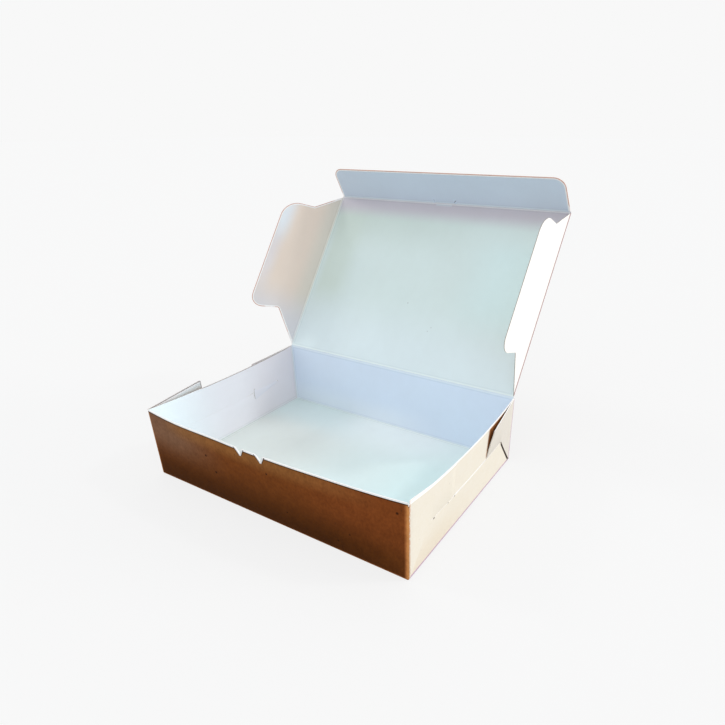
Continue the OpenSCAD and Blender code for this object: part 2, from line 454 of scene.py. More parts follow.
@dataclass(frozen=True)
class KraftFinish:
    """Brown unbleached face: mottled pulp, fibres, dark specks and rubbed creases.

    Attributes:
        creases: Score lines, along which the face is rubbed paler.
        washes: Soft changes of colour.
        flecks: Dark flecks of bark, and spots of painted shade, in places of their own.
        lines: Thin lines that lie over everything else.
        roughness: How matt the face is.
        mottle_size: Size of the pulp's clouds in millimetres.
        grain_size: Size of the finer grain in millimetres.
        fibre_size: Width of the fibres in millimetres.
        speck_cell: Distance between specks in millimetres.
        speck_radius: Radius of the largest specks, as a share of that distance.
        speck_gap: Share of the places that have no speck.
        rub_width: Width of the rubbed line along a crease in millimetres.
        bleach: Red of a tint from which it counts as the painted-light pale kraft, and at which it fully
            does.
        weights: How strongly the clouds, the grain and the fibres change its tone.
        shades: Factors of its darkest tone, brown and painted-light pale.
        glints: Factors of its lightest tone, brown and painted-light pale.
        rubs: Colours of a rubbed crease, brown and painted-light pale.
        speck_tint: Colour of the specks.
        fleck_tint: Colour of the flecks.
        relief: Depth of its fibres in millimetres.
    """

    creases: tuple[Crease, ...]
    washes: tuple[Wash, ...] = ()
    flecks: tuple[Fleck, ...] = ()
    lines: tuple[Wash, ...] = ()
    roughness: float = 0.8
    mottle_size: float = 6.5
    grain_size: float = 1.7
    fibre_size: float = 0.5
    speck_cell: float = 14.0
    speck_radius: float = 0.055
    speck_gap: float = 0.45
    rub_width: float = 1.2
    bleach: tuple[float, float] = (0.5, 0.72)
    weights: tuple[float, float, float] = (0.75, 0.9, 0.34)
    shades: tuple[Colour, Colour] = ((0.66, 0.58, 0.5), (0.96, 0.94, 0.89))
    glints: tuple[Colour, Colour] = ((1.28, 1.24, 1.16), (1.0, 1.0, 1.0))
    rubs: tuple[Colour, Colour] = (paint(206, 134, 74), paint(205, 142, 98))
    speck_tint: Colour = paint(70, 42, 24)
    fleck_tint: Colour = paint(44, 20, 8)
    relief: float = 0.05

    def specks(self, graph: Graph, place: bpy.types.NodeSocket) -> Value:
        """Scattered dark specks, each with a size of its own."""
        inputs = {"Vector": place, "Scale": 1 / self.speck_cell, "Randomness": 1.0}
        cells = graph.node("ShaderNodeTexVoronoi", {"voronoi_dimensions": "2D"}, inputs)
        share = graph.red(cells.outputs["Color"])
        size = (share - self.speck_gap).larger(0.0) * (self.speck_radius / (1 - self.speck_gap))
        return ((size - Value(graph, cells.outputs["Distance"])) * (1.5 / self.speck_radius)).held()

    def material(self, name: str) -> bpy.types.Material:
        """Makes the kraft material of one piece."""
        graph = finish_graph(name)
        across, along, place = graph.blank()
        clouds = graph.noise(place, self.mottle_size, 1.2, 3.0)
        grain = graph.noise(place, self.grain_size, 1.3, 2.0)
        fibres = graph.noise(place, self.fibre_size, 7.0, 2.0)
        tone = 0.5
        for pattern, weight in zip((clouds, grain, fibres), self.weights):
            tone = tone + (pattern - 0.5) * weight
        tint = graph.tint(OUTSIDE_TINT)
        for wash in self.washes:
            tint = wash.over(tint, graph, across, along)
        # How far the tint is the painted-light pale kraft, which gets its own shades and rubs, fewer specks
        # and a flatter bump.
        pale = graph.red(tint).eased(*self.bleach)
        brown = 1.0 - pale
        dark = graph.mix(1.0, tint, graph.mix(pale, *self.shades), "MULTIPLY")
        light = graph.mix(1.0, tint, graph.mix(pale, *self.glints), "MULTIPLY")
        colour = graph.mix(tone.held(), dark, light)
        rub = 1.0 - nearest(self.creases, across, along).eased(0.0, self.rub_width)
        colour = graph.mix(rub * brown * (0.3 + grain * 0.5), colour, self.rubs[0], "SCREEN")
        colour = graph.mix(rub * pale * grain.eased(0.36, 0.56), colour, self.rubs[1])
        specks = self.specks(graph, place) * (1.0 - pale * 0.8)
        colour = graph.mix(specks * 0.62, colour, self.speck_tint)
        for line in self.lines:
            colour = line.over(colour, graph, across, along)
        for fleck in self.flecks:
            colour = graph.mix(fleck.mask(graph, place) * 0.9, colour, self.fleck_tint)
        inputs = {
            "Base Color": colour,
            "Roughness": self.roughness + (grain - 0.5) * 0.2,
            "Normal": graph.bump((fibres * 0.6 + grain * 0.4) * (1.0 - pale * 0.7), self.relief),
            "Specular IOR Level": 0.06,
        }
        return graph.shown(graph.surface(inputs))


@dataclass(frozen=True)
class CoatedFinish:
    """White coated face: a smooth half gloss with slight waves, pressed score beads, and painted highlight
    and shade beside its creases.

    Attributes:
        creases: Score lines, beside which a bead is pressed into the face.
        washes: Soft changes of colour.
        marks: Small dark spots in places of their own.
        roughness: How matt the coating is.
        coat: Weight of the clear coating.
        ridge_offset: Distance from a crease to the ridge beside it, where a highlight is painted, in
            millimetres.
        bead_offset: Distance from a crease to the bead beside it, where shade is painted, in millimetres.
        bead_width: Half width of a ridge or bead in millimetres.
        wave_size: Size of the board's slight waves in millimetres.
        cloud_size: Size of the coating's clouds in millimetres.
        tooth_size: Size of the coating's tooth in millimetres.
        shade: Factor of its darkest tone.
        ridge: Colour of the painted highlight along the ridges.
        bead: Factor of the painted shade along the beads.
        root: Factor of the painted shade in the crease itself.
        mark_tint: Colour of the small spots.
        relief: Depth of its waves in millimetres.
    """

    creases: tuple[Crease, ...]
    washes: tuple[Wash, ...] = ()
    marks: tuple[Fleck, ...] = ()
    roughness: float = 0.42
    coat: float = 0.12
    ridge_offset: float = 0.7
    bead_offset: float = 1.9
    bead_width: float = 0.6
    wave_size: float = 34.0
    cloud_size: float = 6.0
    tooth_size: float = 0.45
    shade: Colour = (0.94, 0.935, 0.93)
    ridge: Colour = paint(246, 254, 250)
    bead: Colour = paint(196, 204, 204)
    root: Colour = paint(170, 168, 176)
    mark_tint: Colour = paint(110, 112, 116)
    relief: float = 0.25

    def line(self, distance: Value, offset: float) -> Value:
        """Line beside a crease at an offset, from 0 at its sides to 1 in its middle."""
        return 1.0 - (abs(distance - offset) / self.bead_width).smaller(1.0)

    def material(self, name: str) -> bpy.types.Material:
        """Makes the coated material of one piece."""
        graph = finish_graph(name)
        across, along, place = graph.blank()
        waves = graph.noise(place, self.wave_size, 1.5, 2.0)
        cloud = graph.noise(place, self.cloud_size, 1.3, 3.0)
        tooth = graph.noise(place, self.tooth_size, 1.5, 2.0)
        tint = graph.tint(INSIDE_TINT)
        for wash in self.washes:
            tint = wash.over(tint, graph, across, along)
        shade = graph.mix(1.0, tint, self.shade, "MULTIPLY")
        colour = graph.mix(((waves - 0.5) * 1.3 + (cloud - 0.5) * 0.5 + 0.5).held(), shade, tint)
        distance = nearest(self.creases, across, along)
        ridge, bead = self.line(distance, self.ridge_offset), self.line(distance, self.bead_offset)
        root = 1.0 - distance.eased(0.0, self.bead_width)
        # Painted highlight on the ridge, painted shade in the bead and in the crease.
        colour = graph.mix(ridge * 0.5, colour, self.ridge)
        colour = graph.mix(bead * 0.2, colour, self.bead, "MULTIPLY")
        colour = graph.mix(root * 0.1, colour, self.root, "MULTIPLY")
        for mark in self.marks:
            colour = graph.mix(mark.mask(graph, place) * 0.5, colour, self.mark_tint)
        inputs = {
            "Base Color": colour,
            "Roughness": self.roughness + (cloud - 0.5) * 0.12,
            "Normal": graph.bump(waves * 3.0 + tooth * 0.02 + ridge * 0.3 - bead * 0.3, self.relief),
            "Coat Weight": self.coat,
            "Coat Roughness": 0.3,
            "Specular IOR Level": 0.4,
        }
        return graph.shown(graph.surface(inputs))


@dataclass(frozen=True)
class CutEdgeFinish:
    """Bare cut edge of the board: a thin brown skin outside, then pale pulp with a warm grain.

    Attributes:
        washes: Soft changes of colour.
        pale: The pulp's lighter colour.
        warm: The pulp's darker colour.
        skin: Colour of the brown skin.
        skin_share: Share of the board's thickness that the skin takes.
        pulp_size: Size of the pulp's grain in millimetres.
        tooth_size: Size of the cut's tooth in millimetres.
    """

    washes: tuple[Wash, ...] = ()
    pale: Colour = paint(254, 252, 250)
    warm: Colour = paint(244, 234, 226)
    skin: Colour = paint(96, 60, 34)
    skin_share: float = 0.38
    pulp_size: float = 2.5
    tooth_size: float = 0.3

    def material(self, name: str) -> bpy.types.Material:
        """Makes the cut edge's material of one piece."""
        graph = finish_graph(name)
        across, along, place = graph.blank()
        pulp = graph.noise(place, self.pulp_size, 1.0, 3.0)
        tooth = graph.noise(place, self.tooth_size, 1.0, 2.0)
        depth = graph.value("ShaderNodeAttribute", {"attribute_name": PLY}, {}, "Fac")
        colour = graph.mix(pulp.eased(0.35, 0.7), self.pale, self.warm)
        outer = 1.0 - depth.eased(self.skin_share * 0.7, self.skin_share * 1.3)
        colour = graph.mix(outer, colour, self.skin)
        for wash in self.washes:
            colour = wash.over(colour, graph, across, along)
        inputs = {
            "Base Color": colour,
            "Roughness": 0.8 + (pulp - 0.5) * 0.2,
            "Normal": graph.bump(tooth, 0.04),
        }
        return graph.shown(graph.surface(inputs))


@dataclass(frozen=True)
class Board:
    """The board that the box is folded from, in millimetres.

    Attributes:
        thickness: Thickness of the board.
        soft_edge: How far its cut edges are rounded.
        edge_steps: Steps in which they are rounded.
        edge_angle: Angle in degrees from which an edge counts as a cut one.
        corner_steps: Steps in which a corner of an outline is rounded.
        fold_steps: Steps in which a fold turns.
    """

    thickness: float = 0.45
    soft_edge: float = 0.2
    edge_steps: int = 3
    edge_angle: float = 60.0
    corner_steps: int = 8
    fold_steps: int = 5

    @property
    def half(self) -> float:
        """Half the board's thickness."""
        return self.thickness / 2


BOARD = Board()


@dataclass(frozen=True)
class Corner:
    """A corner of a flat outline, in millimetres, with the radius that rounds it."""

    x: float
    y: float
    radius: float = 0.0

    def mirrored(self, x_sign: int, y_sign: int) -> "Corner":
        """The same corner on another side of the zero lines."""
        return Corner(self.x * x_sign, self.y * y_sign, self.radius)


class Sheet:
    """Board that is cut flat, scored, folded and given its thickness.

    While it lies flat its white inside faces up.
    """

    def __init__(self, name: str, outline: Sequence[Corner]) -> None:
        """Cuts a sheet to an outline.

        Args:
            name: Name of the piece.
            outline: Its corners, counter-clockwise.
        """
        self.name = name
        self.mesh = bmesh.new()
        self.outside = self.mesh.faces.layers.float_color.new(OUTSIDE_TINT)
        self.inside = self.mesh.faces.layers.float_color.new(INSIDE_TINT)
        self.flat = self.mesh.verts.layers.float_vector.new("flat")
        self.stand = self.mesh.verts.layers.float_vector.new("stand")
        self.ply = self.mesh.verts.layers.float.new(PLY)
        self.bare = self.mesh.faces.layers.int.new("bare")
        verts = [self.mesh.verts.new((corner.x, corner.y, 0.0)) for corner in outline]
        self.mesh.faces.new(verts)
        for vert, corner in zip(verts, outline):
            if corner.radius:
                self._round(vert, corner.radius)

    def _round(self, vert: bmesh.types.BMVert, radius: float) -> None:
        """Rounds one corner of the outline."""
        arms = [edge.other_vert(vert).co - vert.co for edge in vert.link_edges]
        half_angle = arms[0].angle(arms[1]) / 2
        bmesh.ops.bevel(
            self.mesh,
            geom=[vert],
            offset=radius / math.tan(half_angle),
            offset_type="OFFSET",
            affect="VERTICES",
            segments=BOARD.corner_steps,
            profile=0.5,
            material=-1,
        )

    def trim(self, width: float, crease: Crease) -> None:
        """Marks a narrow strip along the outline, which takes the cut edge's finish: a thin kraft line at the
        edge, with a painted highlight or painted shade inside it.

        Args:
            width: Width of the strip in millimetres.
            crease: Score line along which there is none.
        """
        strip = bmesh.ops.inset_region(
            self.mesh, faces=list(self.mesh.faces), thickness=width, use_boundary=True, use_even_offset=True
        )
        for face in strip["faces"]:
            rims = [edge.verts for edge in face.edges if edge.is_boundary]
            middles = [(rim[0].co + rim[1].co) / 2 for rim in rims]
            if all(abs(crease.distance(middle.x, middle.y)) > BOARD.thickness for middle in middles):
                face[self.bare] = 1

    def score(self, across: Sequence[float] = (), along: Sequence[float] = ()) -> None:
        """Runs straight lines over the whole sheet, where it folds, bends or is pierced.

        Args:
            across: Places in X.
            along: Places in Y.
        """
        for normal, places in ((Vector((1, 0, 0)), across), (Vector((0, 1, 0)), along)):
            for place in sorted(set(places)):
                geometry = [*self.mesh.verts, *self.mesh.edges, *self.mesh.faces]
                bmesh.ops.bisect_plane(
                    self.mesh, geom=geometry, dist=1e-4, plane_co=normal * place, plane_no=normal
                )

    def punch(self, left: float, right: float, low: float, high: float) -> None:
        """Takes a rectangle out of the sheet."""
        self.score((left, right), (low, high))
        centres = {face: face.calc_center_median() for face in self.mesh.faces}
        inside = [f for f, c in centres.items() if left < c.x < right and low < c.y < high]
        bmesh.ops.delete(self.mesh, geom=inside, context="FACES")

    def dye(self, choose: Callable[[Vector], tuple[Tint, Tint]]) -> None:
        """Gives each face its two tints and records its place on the flat sheet.

        Args:
            choose: Takes a place on the flat sheet and gives the outside's tint and the inside's.
        """
        for face in self.mesh.faces:
            outside, inside = choose(face.calc_center_median())
            face[self.outside] = (*outside.value, 1.0)
            face[self.inside] = (*inside.value, 1.0)
        for vert in self.mesh.verts:
            vert[self.flat] = vert.co

    def fold(self, place: Callable[[Vector], Vector]) -> None:
        """Carries every point of the flat sheet to its folded place."""
        for vert in self.mesh.verts:
            vert.co = place(vert.co)

    def thicken(self, creases: Sequence[Crease]) -> None:
        """Gives the folded sheet its thickness: white face, brown face and cut edge.

        Args:
            creases: Its score lines, along which a trimmed outline has no brown line.
        """
        worn = self.worn_corners(creases)
        self.mesh.normal_update()
        for vert in self.mesh.verts:
            vert[self.stand] = vert.normal * vert.calc_shell_factor() * BOARD.half
        outside = list(self.mesh.faces)
        edges = list(self.mesh.edges)
        made = bmesh.ops.extrude_face_region(self.mesh, geom=[*outside, *edges], use_keep_orig=True)
        inside = {part for part in made["geom"] if isinstance(part, bmesh.types.BMFace)}
        lifted = {part for part in made["geom"] if isinstance(part, bmesh.types.BMVert)}
        for vert in self.mesh.verts:
            vert.co += vert[self.stand] * (1 if vert in lifted else -1)
            vert[self.ply] = 1.0 if vert in lifted and tuple(vert[self.flat]) not in worn else 0.0
        rim = set(self.mesh.faces) - inside - set(outside)
        bare = {face for face in inside if face[self.bare]}
        sorts = ((inside - bare, Layer.COATED), (outside, Layer.KRAFT), (rim | bare, Layer.CUT_EDGE))
        for faces, layer in sorts:
            for face in faces:
                face.material_index = layer.value
        bmesh.ops.recalc_face_normals(self.mesh, faces=self.mesh.faces)

    def worn_corners(self, creases: Sequence[Crease]) -> set[tuple[float, ...]]:
        """Flat places of a trimmed outline's points that lie on no crease."""
        trimmed = [v for v in self.mesh.verts if v.is_boundary and any(f[self.bare] for f in v.link_faces)]
        places = [tuple(vert[self.flat]) for vert in trimmed]
        return {
            place
            for place in places
            if all(abs(crease.distance(place[0], place[1])) > BOARD.thickness for crease in creases)
        }

    def unwrap(self) -> None:
        """Writes each point's place on the flat sheet as the piece's map."""
        blank = self.mesh.loops.layers.uv.new(BLANK_MAP)
        for face in self.mesh.faces:
            for loop in face.loops:
                loop[blank].uv = loop.vert[self.flat].xy

    def piece(
        self, finishes: Sequence[bpy.types.Material], creases: Sequence[Crease]
    ) -> bpy.types.Object:
        """Makes the finished object.

        Args:
            finishes: Finishes of its white face, its brown face and its cut edge.
            creases: Its score lines.

        Returns:
            The object, in metres.
        """
        self.thicken(creases)
        self.unwrap()
        for face in self.mesh.faces:
            face.smooth = True
        bmesh.ops.scale(self.mesh, vec=(MM, MM, MM), verts=self.mesh.verts)
        data = bpy.data.meshes.new(self.name)
        self.mesh.to_mesh(data)
        self.mesh.free()
        made = placed(self.name, data)
        for finish in finishes:
            data.materials.append(finish)
        softened = made.modifiers.new("soft_edge", "BEVEL")
        softened.width = BOARD.soft_edge * MM
        softened.segments = BOARD.edge_steps
        softened.limit_method = "ANGLE"
        softened.angle_limit = math.radians(BOARD.edge_angle)
        softened.harden_normals = True
        return made

    def dressed(self, look: "Look") -> bpy.types.Object:
        """Makes the object with the box's three finishes, in a look of its own."""
        finishes = (
            CoatedFinish(look.creases, look.inside, look.marks).material(f"{self.name}_coated"),
            KraftFinish(look.creases, look.outside, look.flecks, look.lines).material(f"{self.name}_kraft"),
            look.edge.material(f"{self.name}_cut_edge"),
        )
        return self.piece(finishes, look.creases)


@dataclass(frozen=True)
class Look:
    """What sets one sheet's finishes apart.

    Attributes:
        creases: The sheet's score lines.
        inside: Washes over its white face, mostly painted light and shade.
        outside: Washes over its brown face, mostly painted light and shade.
        lines: Thin lines on its brown face.
        flecks: Dark flecks of bark, and spots of painted shade, in its brown face.
        marks: Small spots on its white face.
        edge: Finish of its cut edge.
    """

    creases: tuple[Crease, ...]
    inside: tuple[Wash, ...] = ()
    outside: tuple[Wash, ...] = ()
    lines: tuple[Wash, ...] = ()
    flecks: tuple[Fleck, ...] = ()
    marks: tuple[Fleck, ...] = ()
    edge: CutEdgeFinish = CutEdgeFinish()


def fold_point(name: str) -> Vector:
    """A point on the axis of one of the frame's joints, in millimetres."""
    joint = next(j for j in frame["joints"] if j["name"] == name)
    return Vector(joint["pos_m"]) / MM


def steps(start: float, end: float, count: int) -> list[float]:
    """Evenly spaced places from start to end, both counted in."""
    return [start + (end - start) * i / count for i in range(count + 1)]


@dataclass
class WallSet:
    """How one side wall has set after folding, in millimetres.

    Attributes:
        bow: How far the middle of its top edge leans out.
        sag: How far the middle of its top edge hangs.
        lip: How far the board below the slit stands out.
        flares: How far the corner tabs stand off at their ends, front and rear.
        shut: How open the slit is, as a share.
    """

    bow: float
    sag: float
    lip: float
    flares: tuple[float, float]
    shut: float = 0.1


@dataclass
class Tray:
    """Bottom, four walls and four corner lock tabs, folded from one sheet, in millimetres."""

    width: float = 200.0
    depth: float = 140.0
    wall_height: float = 49.6
    fold_radius: float = 0.5
    corner_radius: float = 0.5
    front_bow: float = 6.4
    front_rise: float = 2.1
    front_rise_start: float = -80.0
    front_rise_run: float = 55.0
    corner_rise: float = 1.2
    corner_rise_start: float = 40.0
    corner_rise_run: float = 50.0
    notch_width: float = 5.2
    notch_depth: float = 4.2
    notch_shift: float = -1.8
    notch_spacing: float = 16.1
    tab_length: float = 46.0
    tongue_overhang: float = 3.0
    tab_standoff: float = 0.5
    tab_top_fall: float = 1.4
    tab_corner: float = 1.0
    tongue_corners: tuple[float, float] = (1.2, 1.0)
    tongue_play: float = 0.2
    hook_step: float = 0.2
    hook_lift: float = 0.1
    hook_start: float = 0.1
    slit_level: float = 26.0
    slit_height: float = 0.6
    slit_slope: float = 1.3
    slit_inset: float = 22.0
    slit_entry: float = 1.5
    slit_play: float = 0.3
    lip_reach: float = 16.0
    lip_fade: float = 8.0
    lip_height: float = 6.0
    tongue_low: float = 19.0
    loose_tab_angle: float = 3.4
    loose_tab_rise: float = 0.092
    grid: float = 10.0
    bend_levels: tuple[float, float] = (12.0, 38.0)
    lip_bend: float = 4.0
    left: WallSet = field(default_factory=lambda: WallSet(-1.2, 1.7, 0.0, (0.0, 1.5)))
    right: WallSet = field(default_factory=lambda: WallSet(3.2, 0.0, 0.2, (0.0, 3.1)))

    def __post_init__(self) -> None:
        """Works out where the flat sheet folds."""
        self.middle_radius = self.fold_radius - BOARD.half
        self.arc = self.middle_radius * math.pi / 2
        self.flat_x = self.width / 2 - self.fold_radius
        self.flat_y = self.depth / 2 - self.fold_radius
        self.corner_reach = self.width / 2 - BOARD.half + self.tab_standoff
        self.corner_start = self.corner_reach - self.corner_radius
        self.tab_reach = self.tab_length + self.tongue_overhang
        self.hinge = fold_point("lid_hinge")

    def rise(self, height: float) -> float:
        """Distance up a wall's sheet from where its fold starts, at a height."""
        return self.arc + height - self.fold_radius

    def side_x(self, height: float) -> float:
        """Place in X on the flat sheet of a height on a side wall."""
        return self.flat_x + self.rise(height)

    def end_y(self, height: float) -> float:
        """Place in Y on the flat sheet of a height on the front or rear wall or its tabs."""
        return self.flat_y + self.rise(height)

    def tab_x(self, along: float) -> float:
        """Place in X on the flat sheet of a distance along a tab from its corner."""
        straight = along - self.fold_radius + BOARD.half - (self.corner_radius - self.middle_radius)
        return self.corner_start + self.corner_radius * math.pi / 2 + straight

    def tab_corners(self) -> list[Corner]:
        """Outline of a tab, from its corner's foot round its tongue and hook to its corner's top."""
        length = self.tab_length
        above = self.slit_level + self.slit_slope
        below = self.slit_level - self.slit_entry
        top = self.wall_height - self.tab_top_fall
        points = [
            (self.slit_inset, above, 0.0),
            (self.slit_inset + self.slit_entry, below, 0.0),
            (self.tab_reach, self.tongue_low, self.tongue_corners[0]),
            (self.tab_reach, self.slit_level + self.tongue_overhang, self.tongue_corners[1]),
            (length + self.hook_step, above + self.hook_lift, 0.0),
            (length, top, self.tab_corner),
        ]
        return [Corner(self.tab_x(along), self.end_y(height), r) for along, height, r in points]

    def quarter(self, top: Sequence[Corner]) -> list[Corner]:
        """Outline of the blank's rear right quarter.

        Args:
            top: Corners along the end wall's top edge, from the tab to the middle.

        Returns:
            The corners, from the side wall to the middle of the end wall.
        """
        return [
            Corner(self.side_x(self.wall_height), self.flat_y, 0.6),
            Corner(self.flat_x, self.flat_y),
            Corner(self.flat_x, self.end_y(self.fold_radius)),
            Corner(self.corner_start, self.end_y(self.fold_radius)),
            *self.tab_corners(),
            Corner(self.corner_start, self.end_y(self.wall_height)),
            *top,
        ]

    def outline(self) -> list[Corner]:
        """Outline of the whole flat sheet."""
        lid_edge = -fold_point("left_wing_fold").x
        hinge_top = self.end_y(self.hinge.z + BOARD.half)
        rear = [Corner(lid_edge, self.end_y(self.wall_height)), Corner(lid_edge, hinge_top)]
        rear_right = self.quarter(rear)
        front_left = self.quarter(self.notch(self.notch_spacing / 2 - self.notch_shift))
        front_right = self.quarter(self.notch(self.notch_spacing / 2 + self.notch_shift))
        return [
            *rear_right,
            *[corner.mirrored(-1, 1) for corner in reversed(rear_right)],
            *[corner.mirrored(-1, -1) for corner in front_left],
            *[corner.mirrored(1, -1) for corner in reversed(front_right)],
        ]

    def notch(self, centre: float) -> list[Corner]:
        """Corners of a notch in the front wall's brim, at a distance from the middle."""
        brim, half = self.end_y(self.wall_height), self.notch_width / 2
        return [
            Corner(centre + half, brim),
            Corner(centre, brim - self.notch_depth),
            Corner(centre - half, brim),
        ]

    def scores(self) -> tuple[list[float], list[float]]:
        """Places at which the flat sheet folds or bends, in X and in Y."""
        fold = steps(0.0, self.arc, BOARD.fold_steps)
        corner = steps(0.0, self.corner_radius * math.pi / 2, BOARD.fold_steps)
        levels = [self.slit_level - self.slit_slope, self.slit_level + self.slit_slope]
        hook = [self.tab_length + self.hook_start, self.tab_length + self.slit_entry / 2]
        runs = [*steps(0.0, self.slit_inset, 4)[1:], *steps(self.slit_inset, self.tab_length, 6), *hook]
        entry = self.slit_inset + self.slit_entry
        across = steps(0.0, self.flat_x, round(self.flat_x / self.grid))
        across += [self.flat_x + place for place in fold]
        across += [self.corner_start + place for place in corner]
        across += [self.side_x(level) for level in (*self.bend_levels, self.slit_level - self.lip_bend)]
        across += [self.tab_x(run) for run in (*runs, entry)]
        along = steps(0.0, self.flat_y, round(self.flat_y / self.grid))
        along += [self.flat_y + place for place in fold]
        along += [self.end_y(level) for level in (*levels, self.slit_level, *self.bend_levels)]
        return self.paired(across), self.paired(along)

    @staticmethod
    def paired(places: Sequence[float]) -> list[float]:
        """The places and the same ones on the other side of the zero line."""
        return [sign * place for place in places for sign in (-1, 1)]

    def profile(self, distance: float) -> tuple[float, float]:
        """Section of a fold and its wall.

        Args:
            distance: Distance on the sheet from the bottom's flat part.

        Returns:
            How far out and how high the middle of the board lies there.
        """
        if distance <= self.arc:
            angle = distance / self.middle_radius
            height = BOARD.half + self.middle_radius * (1 - math.cos(angle))
            return self.middle_radius * math.sin(angle), height
        return self.middle_radius, self.fold_radius + distance - self.arc

    def leaned(self, height: float, lean: float, sag: float) -> float:
        """Height of a point of a wall once the wall leans and sags."""
        top = math.sqrt(self.wall_height**2 - lean**2) - sag
        share = (height - self.fold_radius) / (self.wall_height - self.fold_radius)
        return height if share <= 0 else self.fold_radius + share * (top - self.fold_radius)

    @staticmethod
    def bow_share(place: float, length: float) -> float:
        """Share of the full bow at a place along a wall, none at its ends."""
        return max(0.0, 1 - (2 * place / length) ** 2)

    def side_place(self, side: int, distance: float, along: float) -> Vector:
        """Place of a point of a side wall.

        Args:
            side: Sign of X.
            distance: Distance on the sheet from the bottom's flat part.
            along: Place in Y.

        Returns:
            The point in the folded tray.
        """
        wall = self.right if side > 0 else self.left
        out, height = self.profile(distance)
        share = self.bow_share(along, self.depth)
        lean = wall.bow * share
        middle = 1.0 if side < 0 and along < 0 else 1 - ease((abs(along) - self.lip_reach) / self.lip_fade)
        below = self.slit_level - height
        if abs(below) <= self.slit_height:
            height = self.slit_level - below * (1 - middle * (1 - wall.shut))
        lip = wall.lip * middle * ease(1 - below / self.lip_height) if below > 0 else 0.0
        reach = self.flat_x + out + lean * height / self.wall_height + lip
        return Vector((side * reach, along, self.leaned(height, lean, wall.sag * share)))

    def tab_stand(self, along: float, height: float, flare: float) -> float:
        """How far out of its wall's middle a tucked tab stands, below zero where it is inside."""
        above = max(0.0, height - self.slit_level) / (self.wall_height - self.slit_level)
        outside = ease((height - self.slit_level + self.slit_slope) / (2 * self.slit_slope))
        entered = ease((along - self.slit_inset) / self.slit_entry)
        hook_run = self.slit_entry / 2 - self.hook_start
        hooked = ease((along - self.tab_length - self.hook_start) / hook_run)
        share = min(1 - entered * (1 - outside), 1 - hooked)
        spread = flare * max(0.0, along / self.tab_length) ** 1.5 * above
        return self.tab_standoff * (2 * share - 1) + spread * share

    def brim_rise(self, across: float) -> float:
        """How far the front wall's brim stands above its plain height, at a place in X."""
        rise = self.front_rise * ease((across - self.front_rise_start) / self.front_rise_run)
        fall = ease((across - self.corner_rise_start) / self.corner_rise_run)
        return rise - (self.front_rise - self.corner_rise) * fall

    def end_place(self, side: int, end: int, across: float, distance: float) -> Vector:
        """Place of a point of the front or rear wall or of the tab at its end.

        Args:
            side: Sign of X.
            end: Sign of Y.
            across: Distance from the middle in X on the flat sheet.
            distance: Distance on the sheet from the bottom's flat part.

        Returns:
            The point in the folded tray.
        """
        out, height = self.profile(distance)
        reach = self.flat_y + out
        beyond = across - self.corner_start
        if beyond <= 0:
            lean = self.front_bow * self.bow_share(across, self.width) if end < 0 else 0.0
            level = self.leaned(height, lean, 0.0)
            if end < 0:
                level += self.brim_rise(side * across) * ease(height / self.wall_height)
            return Vector((side * across, end * (reach + lean * height / self.wall_height), level))
        loose = side < 0 and end < 0
        turn = math.radians(90 - (self.loose_tab_angle if loose else 0))
        angle = min(turn, beyond / self.corner_radius)
        straight = beyond - self.corner_radius * angle
        x = self.corner_start + self.corner_radius * math.sin(angle) + straight * math.cos(angle)
        y = reach - self.corner_radius * (1 - math.cos(angle)) - straight * math.sin(angle)
        if not loose and straight > 0:
            wall = self.right if side > 0 else self.left
            along = self.depth / 2 - y
            lean = wall.bow * self.bow_share(y, self.depth)
            flare = wall.flares[0 if end < 0 else 1]
            x = self.width / 2 - BOARD.half + lean * height / self.wall_height
            x += self.tab_stand(along, height, flare)
            if side > 0 and end < 0:
                above = ease((height - self.slit_level) / (self.wall_height - self.slit_level))
                height += self.tab_top_fall * above
                height += self.corner_rise * above * (1 - ease(straight / self.slit_inset))
        elif loose:
            height += self.loose_tab_rise * max(0.0, straight) * ease(height / self.wall_height)
        return Vector((side * x, end * y, height))

    def folded(self, flat: Vector) -> Vector:
        """Place in the folded tray of a point of the flat sheet."""
        side = 1 if flat.x > 0 else -1
        end = 1 if flat.y > 0 else -1
        if abs(flat.y) > self.flat_y + 1e-3:
            return self.end_place(side, end, abs(flat.x), abs(flat.y) - self.flat_y)
        if abs(flat.x) > self.flat_x + 1e-3:
            return self.side_place(side, abs(flat.x) - self.flat_x, flat.y)
        return Vector((flat.x, flat.y, BOARD.half))

    def tints(self, flat: Vector) -> tuple[Tint, Tint]:
        """Tints of the outside and the inside at a place on the flat sheet."""
        fold = self.arc / 2
        if abs(flat.y) > self.flat_y + fold:
            on_tab = abs(flat.x) > self.corner_start + self.corner_radius * math.pi / 4
            if on_tab:
                loose = flat.x < 0 and flat.y < 0
                inside = Tint.WHITE_TAB if loose else Tint.WHITE_SIDE
                # Painted light on the right tabs' kraft.
                return (Tint.KRAFT_BLEACHED if flat.x > 0 else Tint.KRAFT), inside
            # Painted shade on the front wall's kraft.
            return (Tint.KRAFT_DEEP if flat.y < 0 else Tint.KRAFT), Tint.WHITE_REAR
        if abs(flat.x) > self.flat_x + fold:
            # Painted light on the right wall's kraft.
            return (Tint.KRAFT_BLEACHED if flat.x > 0 else Tint.KRAFT), Tint.WHITE_SIDE
        return Tint.KRAFT, Tint.WHITE_FLOOR

    def slits(self, sheet: Sheet) -> None:
        """Pierces the side walls with their slits, wider where a tongue passes."""
        half = self.slit_height / 2
        reach = self.depth / 2 - self.slit_inset
        far, near = self.depth / 2 - self.tab_reach - self.tongue_play, reach - self.slit_play
        for side, ends in ((Side.RIGHT, (-1, 1)), (Side.LEFT, (1,))):
            self.pierce(sheet, side, -reach, reach, half)
            for end in ends:
                low, high = sorted((end * far, end * near))
                self.pierce(sheet, side, low, high, self.slit_entry / 3)

    def pierce(self, sheet: Sheet, side: Side, low: float, high: float, half: float) -> None:
        """Takes an opening out of one side wall, a half height above and below the slit's level."""
        sign = side.value
        edges = sorted(sign * self.side_x(self.slit_level + step) for step in (-half, half))
        sheet.punch(edges[0], edges[1], low, high)

